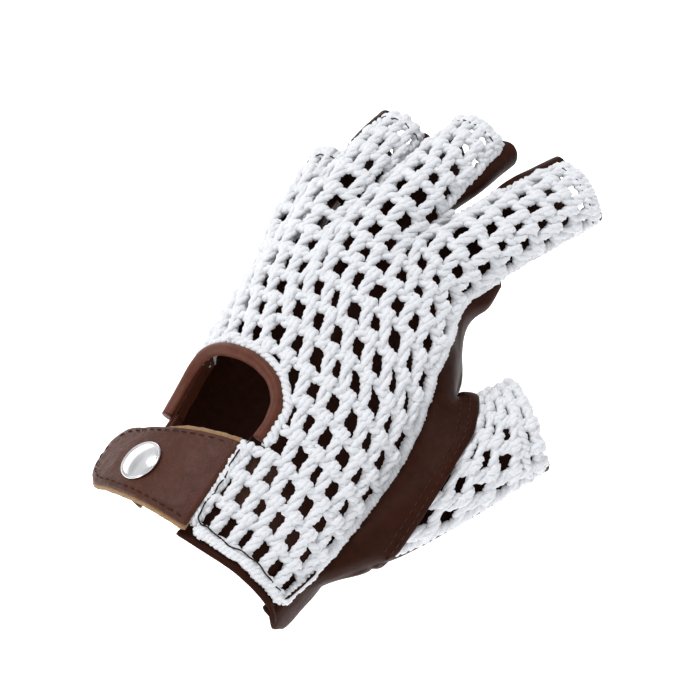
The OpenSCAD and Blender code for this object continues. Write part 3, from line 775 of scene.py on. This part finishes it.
def soft_sheet(f, across, rows, level, thick, size, amount, seed=0.0, floor_at=0.0):
    """Leather sheet on a surface f(u, v, off), its outer face at level, with soft folds of a size and amount.

    across is u's two ends and number of points, and v goes from 0 to 1 in so many rows.
    """
    uu, vv = np.meshgrid(np.linspace(*across), np.linspace(0, 1, rows), indexing="ij")
    lift = level(uu, vv) if callable(level) else np.full(uu.shape, float(level))
    fold = ripple(f(uu, vv, lift), size, amount, seed)
    return shell(above(f(uu, vv, lift + fold), floor_at), above(f(uu, vv, lift + fold - thick), floor_at))


WRIST_V = 0.002  # v of the first row of a sheet that starts at the wrist edge


def to_glove(f):
    """Surface of the hand by angle and by a share that f turns into v."""
    return lambda a, share, off: skin(a, f(a, share), off)


# palm: under the little finger it stops short, where the stall's own palm begins
UNDER_LITTLE, LITTLE_PALM_Y = 226, 107.5


def palm_v(a, share):
    return share * np.where(a < UNDER_LITTLE, np.minimum(1, v_of(a, LITTLE_PALM_Y)), 1)


palm = soft_sheet(to_glove(palm_v), (SIDE_SEAM - 0.5, PALM_SEAM - 0.8, 110), 70, -0.2, LEATHER_T, 16, 0.5)
piece("palm", palm, LEATHER, "leather", "hand", ["palm_leather"])

# gussets between a stall and the next: angles from and to on the one and on the other
GUSSETS = [(150, 215, 30, -32), (150, 215, 30, -42), (145, 235, 55, -45)]
gussets = []
for k, (a0, a1, b0, b1) in enumerate(GUSSETS):
    q, r = np.meshgrid(np.linspace(0, 1, 24), np.linspace(0, 1, 12), indexing="ij")
    near, far = stall(k, a0 + (a1 - a0) * q, -0.02, -0.8), stall(k + 1, b0 + (b1 - b0) * q, -0.02, -0.8)
    face = near + (far - near) * r[..., None]
    sag = np.zeros(face.shape)
    sag[..., 1] = -2.2 * np.sin(np.pi * r) * np.sin(np.pi * q)**0.5
    gussets.append(shell(face + sag, face + sag - np.array([0, LEATHER_T, 0])))
piece("finger_gussets", join_parts(gussets), LEATHER, "leather", "hand")

# stall sides: degrees over a side and under the crochet beside it, and the leather's thickness
SIDE_WIDTH, SIDE_UNDER, STALL_T = 41, 4, 1.0
# how far each stall's sides stand out, little side first, and where its palm starts
STAND = [(3.8, 0.0), (1.4, 3.2), (3.0, 2.0), (0.3, 0.8)]
SIDE_START, STALL_PALM_START = -0.035, (-0.035, -0.035, -0.035, -0.15)


def on_side(k, start, a, share, off):
    """Stall k from start to its slightly wavy leather end."""
    end = 1 + (3.4 + 0.9 * sin_deg(2 * a + 40 * k)) / FINGERS[k][4]
    return stall(k, a, start + (end - start) * share, off)


def side_strip(k, little, s, share, off):
    """Side of stall k: s runs from crochet to palm on the little finger's side, and back on the thumb's."""
    if little:
        first, last = crochet_to(k, share) - SIDE_UNDER, CROCHET[k][1] + SIDE_WIDTH
    else:
        first, last = CROCHET[k][0] - SIDE_WIDTH, crochet_from(k, share) + SIDE_UNDER
    return on_side(k, SIDE_START, first + (last - first) * s, share, off)


def stand(s, share, most):
    """Height of a side: sunk under the crochet, s = 0, and standing out beyond it."""
    return -0.1 - 0.9 * ease((0.16 - s) / 0.16) + most * np.sin(np.pi * s**0.75)**0.9 * ease(share / 0.6)


for k in range(4):
    sides = join_parts([
        soft_sheet(partial(side_strip, k, little), (0, 1, 22), 34,
                   lambda s, share: stand(s if little else 1 - s, share, most), STALL_T, 9, 0.25, k)
        for little, most in zip((True, False), STAND[k])])
    bend(piece(NAMES[k] + "_fourchettes", sides, LEATHER, "leather", None, [NAMES[k] + "_sides"]))
    angles = CROCHET[k][1] + SIDE_WIDTH + 0.6, CROCHET[k][0] + 359.4 - SIDE_WIDTH, 44
    palm = soft_sheet(partial(on_side, k, STALL_PALM_START[k]), angles, 34, -0.1, STALL_T, 9, 0.25, k + 5.0)
    bend(piece(NAMES[k] + "_palm_skin", palm, LEATHER, "leather", None, [NAMES[k] + "_palm"]))


# thumb panel, round the thumb hole
def rim_angle(p):
    """Angle round the hand of a point at the thumb hole."""
    s = smooth(SECTIONS, p[..., 1])
    middle, top, low = s[..., 6], s[..., 4], s[..., 7]
    up_side = p[..., 2] > middle
    k = np.minimum(1, np.abs(p[..., 2] - middle) / np.where(up_side, top - middle, middle - low))
    angle = np.degrees(np.arcsin(k**(np.where(up_side, BACK_POWER, PALM_POWER) / 2)))
    return np.where(up_side, 1, -1) * angle


# the panel's outer edge, by angle round the thumb hole: v, and 1 by the crochet, 0 by the palm
EDGE = np.array([[0, 1, 0.5], [28, 1, 1], [60, 0.72, 1], [90, 0.42, 1], [120, 0.2, 1], [155, 0, 1],
                 [180, 0, 0.5], [205, 0, 0], [240, 0.2, 0], [270, 0.42, 0], [300, 0.72, 0], [332, 1, 0],
                 [360, 1, 0.5]], float)


def rim_x(m):
    return thumb_cut(m) - JOINT_GAP / 2


def panel_at(m, r):
    """Angle and v, a share r of the way from thumb hole to edge, and the hole's offset from the hand."""
    m, r = arrays(np.mod(m, 360), r)
    p = thumb(m, thumb_t(m, rim_x(m)))
    hole_a = 360 + rim_angle(p)
    a = np.minimum(np.maximum(hole_a, PALM_SEAM + 2), 356 + crochet_edge(v_of(hole_a, p[..., 1])))
    v = v_of(a, p[..., 1])
    edge_v, side = np.interp(m, EDGE[:, 0], EDGE[:, 1]), np.interp(m, EDGE[:, 0], EDGE[:, 2])
    edge_a = PALM_SEAM + side * (363 + crochet_edge(edge_v) - PALM_SEAM)
    return a + (edge_a - a) * r, v + (edge_v - v) * r, p - glove(a, v)


def panel(m, r):
    a, v, shift = panel_at(m, np.maximum(r, 0))
    return glove(a, v) + shift * (1 - ease(np.maximum(r, 0) / 0.5))[..., None]


# the bulge at the root of the index stall: its middle, height and reach
BULGE, BULGE_HIGH, BULGE_REACH = np.array([28.0, 111.5, 18.5]), 5.0, 9.5
TUCK = 1.9  # how deep the panel lies under the crochet


def panel_level(m, r):
    """How deep the panel lies: tucked under the crochet's edge, and bulging out elsewhere."""
    a, v, _ = panel_at(m, r)
    near = np.linalg.norm(glove(a, v) - BULGE, axis=-1)
    from_edge = a - 357.5 - crochet_edge(v)
    bulge = BULGE_HIGH * np.exp(-(near / BULGE_REACH)**2) * (1 - ease((from_edge + 6) / 8))
    return TUCK * ease(from_edge / 3) - bulge


def panel_skin(m, r, off):
    """The panel's surface; below r = 0 it carries on over the thumb as a lap."""
    m, r, off = arrays(m, r, off)
    back = np.maximum(0, sin_deg(m))
    flat_r = np.maximum(r, 0)
    p = out(panel, m, flat_r, off + RIM_LIFT * back * (1 - ease(flat_r / 0.6)), 2, 0.03)
    p[..., 0] = np.minimum(p[..., 0], rim_x(m))
    lap = np.clip(-r, 0, 1)
    most = LAP_LOW + (LAP_LIFT - LAP_LOW) * ease(back / 0.35)
    lift = RIM_LIFT * back + (most - RIM_LIFT * back) * ease(lap * 1.1)
    over = thumb(m, thumb_t(m, rim_x(m) + lap_reach(m) * lap), off + lift)
    return np.where((r < 0)[..., None], over, p)


panel_r = np.concatenate([np.linspace(-1, -0.03, 9), np.linspace(0, 1, 22)])
mm, rr = np.meshgrid(np.arange(0, 360, 2.5), panel_r, indexing="ij")
lift = -panel_level(mm, np.maximum(rr, 0)) * ease(rr / 0.2)
lift = lift + ripple(panel_skin(mm, rr, lift), 14, 0.45, 3)
outer, inner = panel_skin(mm, rr, lift), panel_skin(mm, rr, lift - LEATHER_T)
# the panel runs smoothly over the seam on the back of the thumb
SEAM_PASSES, SEAM_REACH = 70, 0.38
share = 0.5 * (np.maximum(0, sin_deg(mm))**0.5 * np.exp(-(rr / SEAM_REACH)**2))[:, 1:-1, None]
for _ in range(SEAM_PASSES):
    for grid in (outer, inner):
        grid[:, 1:-1] += share * ((grid[:, :-2] + grid[:, 2:]) / 2 - grid[:, 1:-1])
panel_sheet = shell(above(outer), above(inner), around=True)
piece("thumb_panel_skin", panel_sheet, LEATHER, "leather", "hand", ["thumb_panel"])

# thumb leather, its two long edges sunk under the crochet
THUMB_SKIN_FROM, THUMB_SKIN_TO, THUMB_SKIN_UNDER = 170, 376, 8


def on_thumb_skin(a, share, off):
    t0 = thumb_t(a, thumb_cut(a) + 0.3, off)
    return thumb(a, t0 + (thumb_stop(a) + 0.05 - t0) * share, off)


def thumb_skin_level(a, share):
    from_edge = np.minimum(a - THUMB_SKIN_FROM, THUMB_SKIN_TO - a)
    return -0.1 - 0.9 * ease(1 - from_edge / THUMB_SKIN_UNDER)


skin_sheet = soft_sheet(on_thumb_skin, (THUMB_SKIN_FROM, THUMB_SKIN_TO, 70), 34, thumb_skin_level, LEATHER_T,
                        12, 0.35, 8, floor_at=0.3)
bend_thumb(piece("thumb_skin", skin_sheet, LEATHER, "leather", None, ["thumb_leather"]))

# wrist flap under the strap, higher beside the palm, with its suede lining standing a little proud
for name, drop, thick, grow, rise, material, slot, nodes in (
        ("wrist_flap_skin", 1.6, 1.0, 0.0, 11, LEATHER_STRAP, "leather", ["wrist_flap"]),
        ("wrist_flap_lining", 2.65, 0.7, 0.9, 0, SUEDE, "suede", [])):
    surface = to_glove(lambda a, share: WRIST_V + share * (
        v_of(a, 18 + grow + rise * ease((a - 154) / 20)) - WRIST_V))
    flap = soft_sheet(surface, (127 - grow, SIDE_SEAM, 40), 24, -drop, thick, 12, 0.2, 2)
    piece(name, flap, material, slot, "hand", nodes)

# side strip between the keyhole and the palm
surface = to_glove(lambda a, share: v_of(a, 22 + (KEYHOLE_TOP + 1 - 22) * share))
strip = soft_sheet(surface, (169.5, SIDE_SEAM + 1.5, 24), 30, -0.6, 1.1, 10, 0.3, 4)
piece("keyhole_side", strip, LEATHER_ROLL, "leather", "hand")

# facing inside the wrist edge, flared out below the crochet, and the facing along the vent
surface = to_glove(lambda a, share: WRIST_V + (v_of(a, cuff(a) + 14) - WRIST_V) * share)
facing = soft_sheet(surface, (14, 93, 76), 20, lambda a, share: -1.5 + 1.7 * ease((0.32 - share) / 0.3),
                    1.0, 10, 0.4, 6)
piece("wrist_facing_skin", facing, LEATHER, "leather", "hand", ["wrist_facing"])
surface = to_glove(lambda a, share: v_of(a, 4.5 + 19 * share))
facing = soft_sheet(surface, (74, 91.2, 16), 20, -1.6, 1.0, 10, 0.2, 6)
piece("vent_facing", facing, FLESH_SIDE, "leather", "hand")

# rolled binding round the keyhole, flatter below
ROLL_WIDE, ROLL_HIGH, ROLL_FLAT = 2.15, 1.75, 0.35
key_a, key_y = keyhole(40.4, 26.4, KEYHOLE_TOP - 2.5, 200)
line, normal, _ = skin_line(key_a, key_y, 0.35, 0.5)
along = unit(np.gradient(line, axis=0))
side = unit(np.cross(along, normal))
phi = np.linspace(0, 2 * np.pi, 20, endpoint=False)
swell = 1 + 0.09 * np.array([noise.noise(Vector(p / 5.0)) for p in line])
across = ROLL_WIDE * np.cos(phi)[:, None] * side[:, None]
high = (ROLL_HIGH * np.sin(phi) - ROLL_FLAT * np.cos(2 * phi))[:, None] * normal[:, None]
ring = line[:, None] + swell[:, None, None] * (across + high)
grid = np.arange(ring.shape[0] * ring.shape[1]).reshape(ring.shape[:2])
faces = ring_quads(grid) + [grid[0].tolist(), grid[-1, ::-1].tolist()]
piece("keyhole_binding_roll", (ring.reshape(-1, 3), faces), LEATHER_ROLL, "binding_leather", "hand",
      ["keyhole_binding"])

# ---------------------------------------------------------------- strap
FOLD = (VENT_X - 0.7, H + 0.2)  # x and z of the fold
STRAP_W, STRAP_TIP_W, SNAP_S, SNAP_Y = 31.0, 22.0, 25.0, 5.0
STRAP_TILT, STRAP_MID, STRAP_DROP = -1.0, 32.0, 47.0  # slope at the fold, at the snap and at the tip
TIP_START = 0.76  # where the strap's round tip starts, as a share of its length


def strap_angle(s):
    return np.where(s < SNAP_S, STRAP_TILT + (STRAP_MID - STRAP_TILT) * s / SNAP_S,
                    STRAP_MID + (STRAP_DROP - STRAP_MID) * (s - SNAP_S) / (STRAP_L - SNAP_S))


def arc_run(a0, a1, length):
    """How far an arc of this length goes on and down, its slope running from a0 to a1."""
    k = np.radians(a1 - a0) / length
    return (sin_deg(a1) - sin_deg(a0)) / k, (cos_deg(a0) - cos_deg(a1)) / k


def on_strap(s, y, off):
    """Point of the strap, s along it from the fold and off over its top."""
    s, y, off = arrays(s, y, off)
    a, first = strap_angle(s), np.clip(s, 0.01, SNAP_S)
    x, z = arc_run(STRAP_TILT, strap_angle(first), first)
    rest = np.maximum(s - SNAP_S, 0.001)
    dx, dz = arc_run(STRAP_MID, STRAP_MID + (STRAP_DROP - STRAP_MID) * rest / (STRAP_L - SNAP_S), rest)
    turn = np.radians(a)
    return np.stack([FOLD[0] - x - dx - off * np.sin(turn), y, FOLD[1] - z - dz + off * np.cos(turn)], -1)


def strap_half(s):
    u = s / STRAP_L
    full = (STRAP_W + (STRAP_TIP_W - STRAP_W) * np.minimum(1, u / 0.75)) / 2
    return full * np.sqrt(np.maximum(0.02, 1 - np.maximum(0, (u - TIP_START) / (1 - TIP_START))**2.6))


def strap_mid(s):
    return 7.5 - 2.0 * np.minimum(1, s / STRAP_L)


def strap_sheet(inset, top, thick, low_grow=0.0, high_grow=0.0, wave=0.0):
    """One layer of the strap: smaller by inset, with its lower and upper edges grown out and waved."""
    tip = TIP_START + (1 - TIP_START) * np.linspace(0, 1, 22)[1:]**0.6
    s = np.concatenate([np.linspace(0, TIP_START, 34), tip]) * STRAP_L
    s = s - inset * np.clip((s / STRAP_L - TIP_START) / (1 - TIP_START), 0, 1)
    q = np.sin(np.linspace(-np.pi / 2, np.pi / 2, 30))
    ss, qq = np.meshgrid(s, q, indexing="ij")
    half = np.maximum(strap_half(ss) - inset, 0.4)
    grow = np.where(qq < 0, low_grow, high_grow * ease((30 - ss) / 12))
    half = half + grow + wave * np.sin(ss * 1.7) * np.cos(ss * 0.63)
    y = strap_mid(ss) + qq * half
    from_snap = np.hypot(ss - SNAP_S, y - SNAP_Y)
    fold = ripple(on_strap(ss, y, 0), 11, 0.45, 1.0) * ease((ss - 2) / 6) * ease((from_snap - 7) / 4)
    sink = 0.35 * np.maximum(ease((np.abs(qq) - 0.8) / 0.2), ease((ss / STRAP_L - 0.93) / 0.07))
    return shell(on_strap(ss, y, top + fold - sink), on_strap(ss, y, top + fold - sink - thick))


piece("strap_leather", strap_sheet(0.7, 0.0, 1.15), LEATHER_STRAP, "leather", "strap", ["strap_top"])
suede = strap_sheet(0.1, -1.1, 1.25, low_grow=0.45, high_grow=1.15, wave=0.12)
piece("strap_suede", suede, SUEDE, "suede", "strap", ["strap_lining"])

# snap cap: a shallow dome with a rolled edge, turned about the snap's axis
CAP_R, CAP_H, CAP_EDGE = 6.8, 1.8, 0.6
SHANK_R, SHANK_END = 1.3, -1.7
dome = (CAP_R**2 + CAP_H**2) / (2 * CAP_H)
cap_top = CAP_H + 0.1
profile = [(x, cap_top - dome + math.sqrt(dome**2 - x**2)) for x in np.linspace(0.5, CAP_R - 0.75, 16)]
for a in np.radians(np.linspace(70, -80, 10)):
    profile.append((CAP_R - CAP_EDGE + CAP_EDGE * math.cos(a), 0.35 + 0.45 * math.sin(a)))
profile += [(CAP_R - 1.4, 0.05), (SHANK_R, 0.05), (SHANK_R, SHANK_END)]
turn = np.linspace(0, 2 * np.pi, 96, endpoint=False)
origin = on_strap(SNAP_S, SNAP_Y, 0.0)
tilt = math.radians(STRAP_MID)
across, axis = np.array([math.cos(tilt), 0, math.sin(tilt)]), np.array([-math.sin(tilt), 0, math.cos(tilt)])
spokes = np.cos(turn)[:, None] * across + np.sin(turn)[:, None] * np.array([0, 1.0, 0])
rings = [origin + r * spokes + z * axis for r, z in profile]
verts = np.concatenate([*rings, [origin + cap_top * axis, origin + SHANK_END * axis]])
grid = np.arange(len(rings) * len(turn)).reshape(len(rings), len(turn))
after, middle = np.roll(grid, -1, axis=1), grid.size
faces = ring_quads(grid) + [[middle, b, a] for a, b in zip(grid[0], after[0])]
faces += [[middle + 1, a, b] for a, b in zip(grid[-1], after[-1])]
piece("cap_dome", (verts, faces), NICKEL, "nickel", "strap", ["snap_cap"])

# ---------------------------------------------------------------- stitching


def stitches(points, normals, length=2.2, gap=1.0, radius=0.26, sink=0.55, wander=0.06):
    """Separate stitches along a line, each dipping into the leather at its ends."""
    run = run_along(points)
    made = []
    for start in np.arange(gap / 2, run[-1] - length, length + gap):
        s = np.linspace(start, start + length, 8)
        p, n = (np.stack([np.interp(s, run, q[:, i]) for i in range(3)], -1) for q in (points, normals))
        x = np.linspace(-1, 1, 8)[:, None]
        made.append(p + n * (radius * 0.7 - sink * x**4) + rng.normal(0, wander, 3))
    return tubes(made, radius, sides=6, ply=0.12, pitch=1.1)


def running(points, normals, radius=0.3, lift=0.4, sway=0.35):
    """One long thread that wanders over the yarn."""
    t = np.arange(len(points))
    along = unit(np.gradient(points, axis=0))
    side = unit(np.cross(along, normals))
    a, b = rng.uniform(0, 6, 2)
    up_down = lift * np.sin(0.55 * t + a) + 0.25 * lift * np.sin(1.3 * t + b)
    across = sway * np.sin(0.31 * t + b) + 0.4 * sway * np.sin(0.83 * t + a)
    path = points + up_down[:, None] * normals + across[:, None] * side
    return tubes([path], radius, sides=7, ply=0.12, pitch=1.2)


def sew(name, shape, material, body=None, nodes=()):
    return piece(name, shape, material, "thread", body, nodes)


# along the vent and the wrist edge
hem_a = np.linspace(87, 33, 40)
thread_a = np.concatenate([np.linspace(91.6, 89.2, 20), hem_a])
thread_y = np.concatenate([np.linspace(25.5, -3.4, 20), cuff(hem_a) + 5.4])
line, normal, _ = skin_line(thread_a, thread_y, 2.3, 0.8)
sew("vent_thread", running(line, normal, 0.24, 0.35, 0.45), THREAD, "hand", ["edge_thread"])

# round each stall's end
for k in range(4):
    a = np.linspace(crochet_from(k, 1) + 3, crochet_to(k, 1) - 3, 46)
    line = stall(k, a, 1 - 2.6 / FINGERS[k][4], 1.7)
    thread = running(line, unit(stall(k, a, 0.9, 3) - stall(k, a, 0.9, 2)), 0.2, 0.25, 0.2)
    bend(sew(NAMES[k] + "_hem_thread", thread, THREAD, None, [NAMES[k] + "_thread"]))

# round the strap
s_up = np.linspace(1.5, TIP_START * STRAP_L, 40)
turn = np.linspace(0, np.pi, 40)[1:-1]
s = np.concatenate([s_up, STRAP_L * (TIP_START + 0.205 * np.sin(turn)), s_up[::-1]])
q = np.concatenate([np.full(len(s_up), -1.0), -np.cos(turn), np.full(len(s_up), 1.0)])
half = strap_half(np.minimum(s, TIP_START * STRAP_L)) - 1.9
line = on_strap(s, strap_mid(s) + q * half, -0.02)
a = np.radians(strap_angle(s))
normal = np.stack([-np.sin(a), np.zeros(len(s)), np.cos(a)], -1)
sew("strap_stitches", stitches(line, normal, 2.2, 0.9, 0.18), THREAD_BROWN, "strap", ["strap_thread"])

# double row beside the lap's edge
m = np.linspace(22, 172, 160)
normal = unit(panel_skin(m, -0.5, 1.0) - panel_skin(m, -0.5, 0.0))
rows = [stitches(panel_skin(m, -1 + back / lap_reach(m), 0.0), normal, 1.9, 0.8, 0.24) for back in (1.4, 3.4)]
sew("thumb_seam_stitches", join_parts(rows), THREAD_BROWN, "hand")

# beside the binding
key_a, key_y = keyhole(43.0, 25.4, KEYHOLE_TOP - 0.2, 200)
line, normal, _ = skin_line(key_a, key_y, 0.9, 0.5)
sew("binding_stitches", stitches(line, normal, 2.0, 0.9, 0.24, 0.7), THREAD, "hand")

# metal CAD parts that stay as they are
METAL_NODES = {"snap_stud": NICKEL, "stud_post": NICKEL, "snap_socket": NICKEL, "socket_spring": STEEL}
for name, material in METAL_NODES.items():
    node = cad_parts[name]
    node.data.materials.clear()
    node.data.materials.append(material)

# ---------------------------------------------------------------- lights and floor
FLOOR_Z, FLOOR_HALF = -0.055, 15.0
corners = [(x * FLOOR_HALF, y * FLOOR_HALF, FLOOR_Z) for x, y in ((-1, -1), (1, -1), (1, 1), (-1, 1))]
floor_mesh = bpy.data.meshes.new("floor")
floor_mesh.from_pydata(corners, [], [(0, 1, 2, 3)])
floor = add_object("floor", floor_mesh)
paper = Nodes("paper")
floor_mesh.materials.append(paper.finish(Base_Color=(0.93, 0.93, 0.93), Roughness=0.9,
                                         Emission_Color=(1.0, 1.0, 1.0), Emission_Strength=0.9))
world = bpy.data.worlds.new("studio")
bpy.context.scene.world = world
world.use_nodes = True
background = world.node_tree.nodes["Background"]
background.inputs["Color"].default_value = (0.95, 0.97, 1.0, 1)
# plain white behind the object, and a softer light on it
tree = world.node_tree
seen, level = tree.nodes.new("ShaderNodeLightPath"), tree.nodes.new("ShaderNodeMapRange")
level.inputs["To Min"].default_value, level.inputs["To Max"].default_value = 0.7, 1.1
tree.links.new(seen.outputs["Is Camera Ray"], level.inputs["Value"])
tree.links.new(level.outputs["Result"], background.inputs["Strength"])


def area_light(name, place, size, power):
    """Square light in metres and watts, turned to the glove."""
    data = bpy.data.lights.new(name, "AREA")
    data.shape, data.size, data.energy = "SQUARE", size, power
    light = add_object(name, data)
    light.location = place
    light.rotation_mode = "QUATERNION"
    light.rotation_quaternion = (Vector((0, 0, 0.02)) - Vector(place)).to_track_quat("-Z", "Y")


area_light("key", (-0.5, 0.3, 0.8), 0.35, 4.8)
area_light("fill", (0.6, -0.5, 0.7), 0.7, 1.5)
area_light("rim", (-0.2, -0.8, 0.5), 0.4, 1.8)
